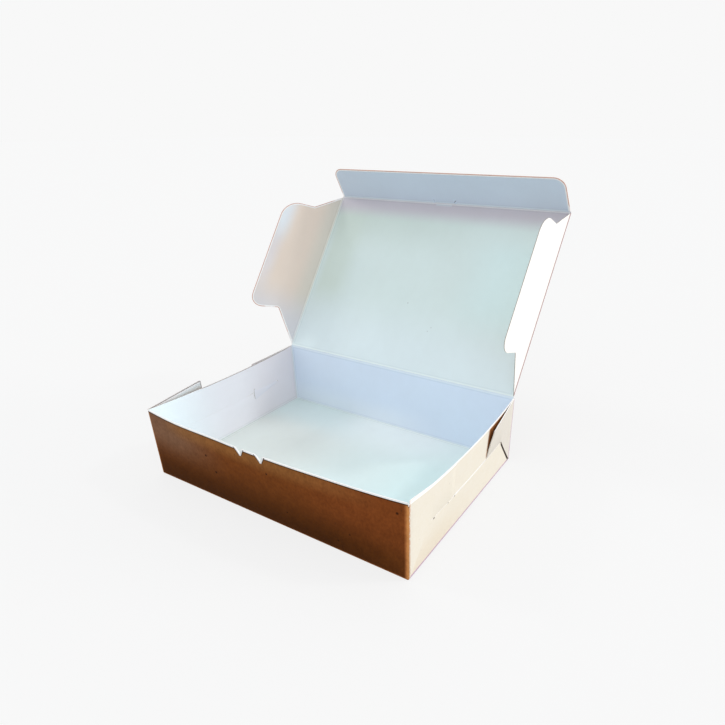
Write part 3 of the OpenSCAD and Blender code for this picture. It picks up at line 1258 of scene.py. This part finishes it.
    def outside_washes(self) -> tuple[Wash, ...]:
        """Painted light and shade over the kraft's front wall, right wall and right tabs."""
        brim, foot = -self.end_y(self.wall_height), -self.flat_y - self.arc / 2
        slit, tab = self.side_x(self.slit_level), self.depth / 2 - self.tab_length
        corner, right_tabs = Band(97.2, 99.2, 100.0, 100.4), Band.after(100.4, 101.0)
        behind = Band.beside(slit, 0.5, 3.0, 22.0, 23.0)
        return (
            # Painted light: the front wall's upper left, lighter and greyer.
            Wash(paint(142, 124, 108), 0.42, Band(-102, -100, -80, -20), Band.until(-106, -82)),
            # Painted light: the front wall lighter just under its brim.
            Wash(paint(164, 116, 66), 0.55, Band(-90, -60, 50, 90), Band.until(brim + 4, brim + 14)),
            # The front wall's upper right part, redder.
            Wash(paint(140, 72, 36), 0.35, Band(10, 70, 99, 101), Band.until(-92, -74)),
            # Painted shade: the front wall darker towards the bottom.
            Wash(paint(72, 38, 8), 0.9, Band(-101, -100, 40, 180), Band(-106, -73, foot, foot + 0.6)),
            # Painted highlight: a warm lit strip down the front right corner.
            Wash(paint(204, 134, 80), 0.75, corner, Band.until(foot - 1, foot)),
            # Painted light: the front right tab as pale as the lit right wall.
            Wash(Tint.KRAFT_BLEACHED.value, 1.0, right_tabs, Band.until(-70.4, -70)),
            # Painted shade: the right wall's lower front, a little darker.
            Wash(paint(226, 213, 192), 0.45, Band(100, 101, 104, 124), Band(-72, -70, -40, 10)),
            # Painted shade: the rear right tab, greyer.
            Wash(paint(216, 212, 208), 0.6, right_tabs, Band.after(70, 71)),
            # Painted shadow: the brown wall in the shade behind the rear right tab.
            Wash(paint(160, 100, 40), 0.95, behind, Band(tab - 3.0, tab, 69, 70)),
        )

    def outside_lines(self) -> tuple[Wash, ...]:
        """Thin lines on the kraft: painted highlights along the edges and the slit, dark ones inside them,
        and the shade under a tab.
        """
        top, brim = self.side_x(self.wall_height), -self.end_y(self.wall_height)
        tab_brim = -self.end_y(self.wall_height - self.tab_top_fall)
        slit, foot = self.side_x(self.slit_level), self.flat_x + self.arc / 2
        slope = (self.slit_level + self.slit_slope - self.fold_radius) / self.slit_inset
        edge = self.side_x(self.fold_radius) + slope * self.depth / 2
        corner = self.corner_start + self.corner_radius * math.pi / 4
        front, right = Band(-101, -100, 99.8, 100.4), Band(-69, -68, 69, 70)
        right_tabs, rear_tab = Band.after(100.4, 101.0), Band.after(70, 71)
        white, dark, mauve = paint(254, 254, 254), paint(44, 28, 14), paint(192, 162, 184)
        under_tab = Band.beside(edge, -2.2, -1.6, 3.0, 4.0)
        lines = [
            # Painted highlights: white along the brim, the right wall's top, the right tabs' brims and the
            # slit.
            Wash(white, 1.0, front, Band.beside(brim, -1.0, -0.9, 0.9, 1.0)),
            Wash(dark, 0.85, front, Band.beside(brim, 0.9, 1.05, 1.4, 1.9)),
            Wash(white, 0.95, Band.beside(top, -0.9, -0.7, 1.0, 2.0), right),
            Wash(white, 0.95, right_tabs, Band.beside(tab_brim, -1.0, -0.9, 0.7, 0.9)),
            Wash(white, 0.9, Band.beside(slit, -0.7, -0.5, 0.5, 0.7), Band(-48, -47, 47, 48)),
            Wash(mauve, 0.95, Band.beside(foot, -1.0, -0.8, 1.0, 1.5), right),
            Wash(mauve, 0.95, Band.beside(corner, -0.9, -0.6, 1.0, 1.5), rear_tab),
            Wash(paint(36, 16, 8), 0.97, under_tab, Band(48.4, 51, 67.6, 69.6), -slope),
        ]
        for centre in (-self.notch_spacing / 2, self.notch_spacing / 2):
            lines += self.notch_lines(centre + self.notch_shift, white, dark)
        return tuple(lines)

    def notch_lines(self, centre: float, white: Colour, dark: Colour) -> list[Wash]:
        """White painted highlight and dark lines down both sides of a notch.

        Args:
            centre: Its middle in X.
            white: Colour of the painted highlight on its edge.
            dark: Colour of the line beside that.

        Returns:
            The lines.
        """
        brim, slope = -self.end_y(self.wall_height), self.notch_width / 2 / self.notch_depth
        tip = brim + self.notch_depth
        down = Band.until(tip + 0.6, tip + 1.4)
        lines = []
        for side in Side:
            edge = centre + side.value * (self.notch_width / 2 + brim * slope)
            for tint, near, far in ((dark, 1.1, 1.7), (white, -0.3, 1.1)):
                low, high = sorted((edge + side.value * near, edge + side.value * far))
                run = Band(low - 0.15, low, high, high + 0.2)
                lines.append(Wash(tint, 0.85, run, down, -side.value * slope))
        return lines

    def inside_washes(self) -> tuple[Wash, ...]:
        """Painted light and shade over the white inside, and the outlines of the loose tab and the left wall.
        """
        left, tab = Band.until(-100, -99), -self.tab_x(self.tab_length)
        top = -self.side_x(self.wall_height)
        slope = -(self.tab_x(self.tab_length) - self.corner_start) / self.tab_top_fall
        edge = -self.corner_start + self.end_y(self.wall_height) * slope
        outline = paint(132, 120, 118)
        return (
            # Painted shade: the floor's left middle, greyer and greener.
            Wash(paint(237, 241, 235), 0.8, Band(-101, -100, -50, 20), Band(-66, -30, 20, 50)),
            # Painted light: the floor's rear, lighter.
            Wash(paint(248, 255, 255), 0.8, Band(-60, -10, 30, 80), Band(10, 66, 69.9, 70.1)),
            # Painted light: the rear wall's lower part, lighter and bluer.
            Wash(paint(238, 247, 255), 0.7, Band(-101, -100, -10, 50), Band(69.9, 70.1, 74, 92)),
            # Painted light: the floor's front, bluer.
            Wash(paint(208, 236, 255), 0.8, Band(-70, 50, 99, 100), Band(-71, -70, -62, -5)),
            # Painted shade: the floor's right part, near the right wall, greener.
            Wash(paint(220, 248, 247), 0.7, Band(10, 80, 99, 100), Band(-70, -20, 20, 66)),
            # Painted shade: the left wall's rear part, greyer.
            Wash(paint(234, 226, 230), 0.6, left, Band(0, 40, 69, 70)),
            # Painted light: the left wall's front part, lighter and bluer.
            Wash(paint(240, 255, 255), 0.6, left, Band(-72, -71, -60, -5)),
            # Painted shade: the inside of the rear left tab, darker.
            Wash(paint(214, 212, 224), 0.4, left, Band.after(70, 72)),
            Wash(paint(255, 255, 255), 1.0, Band.beside(edge, -40, -39, 50, 60), lean=slope),
            Wash(outline, 0.9, Band.beside(edge, -40, -39, 16, 26), lean=slope),
            Wash(outline, 0.9, Band.beside(tab, -2.0, -1.9, 0.4, 0.7), Band.until(-71, -70)),
            Wash(paint(144, 126, 116), 0.8, Band.beside(top, -1.0, -0.9, 0.3, 0.6), Band(-30, -24, 56, 69)),
        )

    def edge_washes(self) -> tuple[Wash, ...]:
        """Painted highlights that whiten the cut edges of the brim and the right wall, one brown edge in
        shadow, and the hinge's fold.
        """
        run = Band(self.corner_start, self.corner_start + 0.8, self.tab_x(self.slit_inset), self.side_x(25.5))
        hinge, white = self.end_y(self.hinge.z), paint(252, 250, 248)
        return (
            # Painted highlight: the cut edges of the right wall and right tabs, white in the strong light.
            Wash(white, 1.0, across=Band.after(100.3, 100.6)),
            # Painted highlight: the front wall's cut edges, white.
            Wash(white, 1.0, Band.after(-99.9, -99.4), Band.until(-100, -99)),
            Wash(paint(92, 62, 44), 0.9, run, Band(self.flat_y, self.flat_y + 1.0, 95, 96)),
            Wash(paint(222, 232, 242), 1.0, Band(-99.6, -99.4, 99.0, 99.2), Band.after(hinge - 0.4, hinge)),
        )

    def flecks(self) -> tuple[Fleck, ...]:
        """Dark flecks of the front wall, and painted shade at the dark ends and open spots of the right
        wall's slit.
        """
        slit = self.side_x(self.slit_level)
        places = ((-44.3, -102.4, 0.9), (-38.7, -91.6, 1.0), (8.6, -107.0, 0.7), (18.1, -82.9, 0.6))
        # The last place here and the slit spots below are painted shade where the slit gapes.
        more = ((54.4, -77.2, 0.7), (93.8, -111.0, 0.9), (63.3, -85.1, 0.6), (slit - 0.7, -44.6, 1.0))
        spots = ((slit - 0.6, -28.6, 0.6), (slit - 0.6, -21.0, 0.6), (120.0, -64.0, 0.3))
        return tuple(Fleck(*place) for place in (*places, *more, *spots))

    def build(self) -> bpy.types.Object:
        """Cuts, scores, folds and finishes the tray."""
        sheet = Sheet("tray_sheet", self.outline())
        sheet.score(*self.scores())
        self.slits(sheet)
        sheet.dye(self.tints)
        sheet.fold(self.folded)
        creases = (
            Crease(self.flat_x + self.arc / 2, paired=True),
            Crease(self.corner_start + self.corner_radius * math.pi / 4, paired=True),
            Crease(self.flat_y + self.arc / 2, across=False, paired=True),
            Crease(self.end_y(self.hinge.z), across=False),
        )
        edge = CutEdgeFinish(self.edge_washes())
        inside, outside = self.inside_washes(), self.outside_washes()
        look = Look(creases, inside, outside, self.outside_lines(), self.flecks(), edge=edge)
        piece = sheet.dressed(look)
        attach(piece, "tray")
        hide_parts("tray")
        return piece


@dataclass
class Lid:
    """The lid's panel, its two wings and its tuck flap, in millimetres and degrees."""

    wing_depth: float = 44.5
    wing_angles: dict[Side, float] = field(default_factory=lambda: {Side.LEFT: 55.7, Side.RIGHT: 92.7})
    wing_end_gap: float = 0.4
    wing_notch: tuple[float, float] = (25.2, 21.2)
    wing_rear_shoulder: float = 16.5
    wing_front_shoulder: float = 110.5
    wing_kink: tuple[float, float] = (117.0, 20.5)
    wing_bend_radius: float = 1.5
    wing_rear_radius: float = 8.0
    wing_front_radius: float = 17.0
    flap_angle: float = 72.0
    flap_depth: float = 28.0
    flap_half_width: float = 99.0
    flap_taper: float = 2.2
    flap_corner: float = 8.5
    slot_width: float = 18.2
    slot_depth: float = 0.45
    nick_length: float = 4.0
    nick_width: float = 0.14
    nick_lean: float = 1.1
    trim_width: float = 1.3
    panel_cells: tuple[int, int] = (16, 11)
    wing_cells: tuple[int, int] = (5, 12)
    flap_cells: tuple[int, int] = (16, 4)
    panel_marks: tuple[Fleck, ...] = (Fleck(-3.6, 53.1, 0.5), Fleck(20.4, 33.9, 0.4), Fleck(22.5, 37.1, 0.4))
    # The lid's cut edges and trimmed strips: a pink kraft line, with white inside it that paints a highlight
    # on the strips.
    pink_edge: CutEdgeFinish = CutEdgeFinish(
        pale=paint(255, 255, 255), warm=paint(252, 246, 242), skin=paint(212, 168, 152), skin_share=0.4
    )
    # Painted shade: the right wing's cut edges and trimmed strip, grey because they stand in shade.
    grey_edge: CutEdgeFinish = CutEdgeFinish(
        pale=paint(176, 186, 182), warm=paint(164, 162, 150), skin=paint(150, 140, 130), skin_share=0.5
    )

    def __post_init__(self) -> None:
        """Reads the folds and works out how the lid's panel lies."""
        self.hinge = fold_point("lid_hinge")
        self.folds = {side: fold_point(f"{side.name.lower()}_wing_fold") for side in Side}
        self.flap_fold = fold_point("front_flap_fold")
        reach = self.flap_fold - self.hinge
        self.across, self.along = Vector((1, 0, 0)), reach.normalized()
        self.inward = self.across.cross(self.along)
        self.length = reach.length
        self.half_width = self.folds[Side.RIGHT].x

    def leaf(self, sheet: Sheet, origin: Vector, x_axis: Vector, y_axis: Vector) -> None:
        """Carries a flat sheet to its plane.

        Args:
            sheet: The sheet.
            origin: Where its zero point goes, in millimetres.
            x_axis: Direction of its X.
            y_axis: Direction of its Y.
        """
        turn = Matrix((x_axis, y_axis, x_axis.cross(y_axis))).transposed().to_4x4()
        matrix = Matrix.Translation(origin) @ turn
        sheet.fold(lambda flat: matrix @ flat)

    def panel(self) -> bpy.types.Object:
        """Makes the lid's own panel."""
        half, end = self.half_width + BOARD.half, self.length + BOARD.half
        low = -BOARD.half
        corners = [Corner(-half, low), Corner(half, low), Corner(half, end), Corner(-half, end)]
        sheet = Sheet("lid_sheet", corners)
        across, along = self.panel_cells
        sheet.score(steps(-half, half, across)[1:-1], steps(low, end, along)[1:-1])
        sheet.dye(lambda flat: (Tint.KRAFT, Tint.WHITE_LID))
        self.leaf(sheet, self.hinge, self.across, self.along)
        creases = (
            Crease(self.half_width, paired=True),
            Crease(0.0, across=False),
            Crease(self.length, across=False),
        )
        look = Look(creases, self.panel_washes(), marks=self.panel_marks, edge=self.pink_edge)
        return self.mounted(sheet.dressed(look), "lid", "lid_panel")

    def panel_washes(self) -> tuple[Wash, ...]:
        """Painted light and shade over the lid's white face."""
        return (
            # Painted shade: the left wing's shadow beside the left crease, greener.
            Wash(paint(212, 228, 219), 0.7, Band(-98, -91, -80, -58), Band.after(32, 60)),
            # Painted shade: the upper part of the lid, darker and greener.
            Wash(paint(198, 214, 205), 0.6, Band.until(-70, 100), Band.after(84, 124)),
            # Painted light: the lower part of the lid, lighter and bluer.
            Wash(paint(228, 242, 247), 0.75, along=Band.until(12, 62)),
            # Painted light: the lid's right middle, lighter.
            Wash(paint(217, 243, 245), 0.7, Band.after(20, 70), Band(30, 66, 96, 124)),
            # Painted shadow: the purple grey band that the flap casts below its fold.
            Wash(paint(205, 201, 209), 1.0, along=Band.after(118, 132)),
            # Painted highlight: a pale strip at the slot in the flap's fold.
            Wash(paint(212, 218, 226), 0.8, Band(-8, -7, 6, 7), Band(135.0, 135.4, 136.8, 137.2)),
        )

    def wing(self, side: Side) -> bpy.types.Object:
        """Makes one side wing.

        Args:
            side: The side that it is on.

        Returns:
            The piece.
        """
        gap, end = self.wing_end_gap, self.length - self.wing_end_gap
        depth, root = self.wing_depth, -BOARD.half
        corners = [
            Corner(root, gap),
            Corner(self.wing_notch[1], self.wing_notch[0], self.wing_bend_radius),
            Corner(depth, self.wing_rear_shoulder, self.wing_rear_radius),
            Corner(depth, self.wing_front_shoulder, self.wing_front_radius),
            Corner(self.wing_kink[1], self.wing_kink[0], self.wing_bend_radius),
            Corner(root, end),
        ]
        if side is Side.LEFT:
            corners = [corner.mirrored(-1, 1) for corner in reversed(corners)]
        # Painted light: the right wing's outside takes the washed-out lit kraft.
        outside = Tint.KRAFT_PALE if side is Side.RIGHT else Tint.KRAFT
        name = f"{side.name.lower()}_wing"
        sheet = Sheet(f"{name}_sheet", corners)
        sheet.trim(self.trim_width, Crease(0.0))
        across, along = self.wing_cells
        sheet.score(steps(0.0, side.value * depth, across)[1:-1], steps(gap, end, along)[1:-1])
        sheet.dye(lambda flat: (outside, Tint.WHITE_WING))
        angle = math.radians(self.wing_angles[side])
        axis = math.cos(angle) * self.across + side.value * math.sin(angle) * self.inward
        self.leaf(sheet, self.folds[side], axis, self.along)
        # The right wing's edge takes the painted shade.
        edge = self.pink_edge if side is Side.LEFT else self.grey_edge
        line = Wash(paint(172, 138, 138), 0.9, Band.until(1.3, 1.9))
        lines = (line,) if side is Side.RIGHT else ()
        look = Look((Crease(0.0),), self.wing_washes(side), lines=lines, edge=edge)
        return self.mounted(sheet.dressed(look), name, name)

    @staticmethod
    def wing_washes(side: Side) -> tuple[Wash, ...]:
        """Painted light and shade over a wing's white face."""
        if side is Side.RIGHT:
            return ()
        return (
            # Painted shade: the left wing darker and greyer near its crease.
            Wash(paint(222, 220, 209), 0.75, across=Band(-18, -3, 1, 2)),
            # Painted light: the outer part, cooler.
            Wash(paint(236, 233, 239), 0.7, Band.until(-42, -32), Band.after(20, 60)),
            # Painted shade: the rear part, greyer and cooler.
            Wash(paint(224, 226, 234), 0.8, along=Band.until(14, 50)),
            # Painted light: the lit upper outer corner, bluish white.
            Wash(paint(240, 248, 255), 0.9, Band.until(-42, -29), Band(70, 96, 112, 118)),
        )

    def flap_corners(self) -> list[Corner]:
        """Outline of the tuck flap, with the slot in its fold and a nick at either end."""
        root, half = -BOARD.half, self.flap_half_width
        slot = self.slot_width / 2
        inner, outer = slot - self.nick_width / 2, slot + self.nick_width / 2
        right = [
            Corner(inner, self.slot_depth),
            Corner(inner, self.nick_length),
            Corner(outer, self.nick_length),
            Corner(outer, root),
            Corner(half, root),
            Corner(half - self.flap_taper, self.flap_depth, self.flap_corner),
        ]
        return [*right, *[corner.mirrored(-1, 1) for corner in reversed(right)]]

    def flap(self) -> bpy.types.Object:
        """Makes the tuck flap."""
        sheet = Sheet("front_flap_sheet", self.flap_corners())
        sheet.trim(self.trim_width, Crease(0.0, across=False))
        half = self.flap_half_width
        across, along = self.flap_cells
        sheet.score(steps(-half, half, across)[1:-1], steps(0.0, self.flap_depth, along)[1:-1])
        sheet.dye(lambda flat: (Tint.KRAFT, Tint.WHITE_FLAP))
        angle = math.radians(self.flap_angle)
        axis = math.cos(angle) * self.along + math.sin(angle) * self.inward
        self.leaf(sheet, self.flap_fold, self.across, axis)
        edge = replace(self.pink_edge, washes=self.slot_washes())
        look = Look((Crease(0.0, across=False),), edge=edge)
        return self.mounted(sheet.dressed(look), "front_flap", "front_flap")

    def slot_washes(self) -> tuple[Wash, ...]:
        """Plain tone round the slot, and the shade in its two nicks."""
        slot, end = self.slot_width / 2, self.nick_length
        tip = slot - self.nick_lean * (end - 1.6)
        plain = Band(-slot - 1.6, -slot - 1.5, slot + 1.5, slot + 1.6)
        tick, shade = Band.beside(end, -3.0, -2.2, -0.6, 0.0), paint(118, 128, 146)
        return (
            Wash(Tint.WHITE_FLAP.value, 1.0, plain, Band(-1, 0, 6, 7)),
            Wash(shade, 0.8, Band.beside(tip, -0.6, -0.3, 0.3, 0.6), tick, self.nick_lean),
            Wash(shade, 0.35, Band.beside(-slot, -0.5, -0.2, 0.2, 0.5), tick),
        )

    @staticmethod
    def mounted(piece: bpy.types.Object, body: str, node: str) -> bpy.types.Object:
        """Lets a piece ride on its body and stand for its node."""
        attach(piece, body)
        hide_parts(node)
        return piece

    def build(self) -> list[bpy.types.Object]:
        """Makes the lid's four pieces."""
        return [self.panel(), self.wing(Side.LEFT), self.wing(Side.RIGHT), self.flap()]


@dataclass(frozen=True)
class Viewpoint:
    """The camera, in metres and degrees, with its lens and shift as shares of the picture.

    Attributes:
        place: Where it stands.
        azimuth: Its turn to the left of +Y.
        elevation: How far it looks down.
        roll: Its turn about its own line of sight.
        focal_share: Focal length as a share of the picture's width.
        shift: How far the frame is shifted to the right and up, as shares of its width.
    """

    place: tuple[float, float, float] = (0.21097, -0.25472, 0.21246)
    azimuth: float = 31.436
    elevation: float = 28.056
    roll: float = -0.224
    focal_share: float = 0.75274
    shift: tuple[float, float] = (-0.05823, 0.07759)

    def build(self) -> bpy.types.Object:
        """Makes the camera and lets the scene look through it."""
        turn, down = math.radians(self.azimuth), math.radians(self.elevation)
        forward = Vector(
            (-math.sin(turn) * math.cos(down), math.cos(turn) * math.cos(down), -math.sin(down))
        )
        right = forward.cross(Vector((0, 0, 1))).normalized()
        rolled = Matrix.Rotation(-math.radians(self.roll), 3, forward)
        right, up = rolled @ right, rolled @ right.cross(forward)
        data = bpy.data.cameras.new("camera")
        data.sensor_width = 36.0
        data.lens = self.focal_share * data.sensor_width
        data.shift_x, data.shift_y = self.shift
        data.clip_start, data.clip_end = 0.01, 50.0
        camera = placed("camera", data)
        turned = Matrix((right, up, -forward)).transposed().to_4x4()
        camera.matrix_world = Matrix.Translation(self.place) @ turned
        bpy.context.scene.camera = camera
        return camera


@dataclass(frozen=True)
class Lamp:
    """A large soft lamp far away, which lights everything evenly.

    Attributes:
        name: What it does.
        towards: Direction from the box to the lamp.
        strength: Light that it throws on a sheet that faces it, where 1 shows a colour as written.
        softness: How large it looks from the box, in degrees.
        colour: Its colour.
    """

    name: str
    towards: tuple[float, float, float]
    strength: float
    softness: float
    colour: Colour = (1.0, 1.0, 1.0)

    def build(self) -> bpy.types.Object:
        """Makes the lamp and turns it to the box."""
        data = bpy.data.lights.new(self.name, "SUN")
        data.energy = self.strength * math.pi
        data.angle = math.radians(self.softness)
        data.color = self.colour
        lamp = placed(self.name, data)
        lamp.rotation_euler = Vector(self.towards).to_track_quat("Z", "Y").to_euler()
        return lamp


@dataclass
class Studio:
    """Pale floor, even daylight and soft lamps.

    Attributes:
        floor_size: Length of the floor's sides in metres.
        floor_drop: How far it lies under the box in metres.
        backdrop: Colour that the camera sees behind the box.
        floor_glow: Share of the backdrop's own colour in the floor, which keeps its shadow faint.
        floor_tint: Colour of the floor as the camera sees it lit.
        floor_bounce: Colour of the floor for the light that it throws back.
        sky_tint: Colour of the daylight.
        sky_level: Strength of the daylight.
        lamps: The soft lamps.
    """

    floor_size: float = 24.0
    floor_drop: float = 0.0002
    backdrop: Colour = paint(248, 248, 248)
    floor_glow: float = 0.84
    floor_tint: Colour = paint(238, 238, 238)
    floor_bounce: Colour = paint(203, 203, 203)
    sky_tint: Colour = (0.97, 0.985, 1.0)
    sky_level: float = 0.9
    lamps: tuple[Lamp, ...] = (
        Lamp("left_window", (-1.8, -0.35, 1.2), 0.13, 14.0, (1.0, 0.985, 0.97)),
        Lamp("right_window", (0.9, 0.55, 0.25), 0.36, 20.0, (1.0, 0.98, 0.955)),
        Lamp("rear_window", (0.626, 0.423, 0.656), 0.13, 6.0, (1.0, 0.99, 0.98)),
    )

    def floor(self) -> bpy.types.Object:
        """Makes the floor, as pale as the backdrop to the camera, with the box's shadow."""
        shape = bmesh.new()
        bmesh.ops.create_grid(shape, x_segments=1, y_segments=1, size=self.floor_size / 2)
        bmesh.ops.translate(shape, vec=(0, 0, -self.floor_drop), verts=shape.verts)
        data = bpy.data.meshes.new("floor")
        shape.to_mesh(data)
        shape.free()
        floor = placed("floor", data)
        graph = finish_graph("floor")
        seen = graph.seen()
        colour = graph.mix(seen, self.floor_bounce, self.floor_tint)
        lit = graph.node("ShaderNodeBsdfDiffuse", {}, {"Color": colour})
        plain = graph.node("ShaderNodeEmission", {}, {"Color": (*self.backdrop, 1.0)})
        data.materials.append(graph.shown(graph.shared(seen * self.floor_glow, lit, plain)))
        return floor

    def sky(self) -> bpy.types.World:
        """Lights the scene evenly and shows the camera a plain pale backdrop."""
        graph = Graph(bpy.data.worlds.new("daylight"))
        light_inputs = {"Color": (*self.sky_tint, 1.0), "Strength": self.sky_level}
        light = graph.node("ShaderNodeBackground", {}, light_inputs)
        plain = graph.node("ShaderNodeBackground", {}, {"Color": (*self.backdrop, 1.0)})
        return graph.shown(graph.shared(graph.seen(), light, plain))

    def build(self) -> None:
        """Makes the floor, the sky and the lamps."""
        self.floor()
        bpy.context.scene.world = self.sky()
        for lamp in self.lamps:
            lamp.build()
        bpy.context.scene.view_settings.view_transform = "Standard"


def main() -> None:
    """Builds the camera, the studio and the box's pieces in order."""
    logging.basicConfig(level=logging.INFO, format="%(name)s: %(message)s")
    Viewpoint().build()
    Studio().build()
    for piece in (Tray().build(), *Lid().build()):
        log.info("%s: %d faces flat", piece.name, len(piece.data.polygons))


if __name__ == "__main__":
    main()
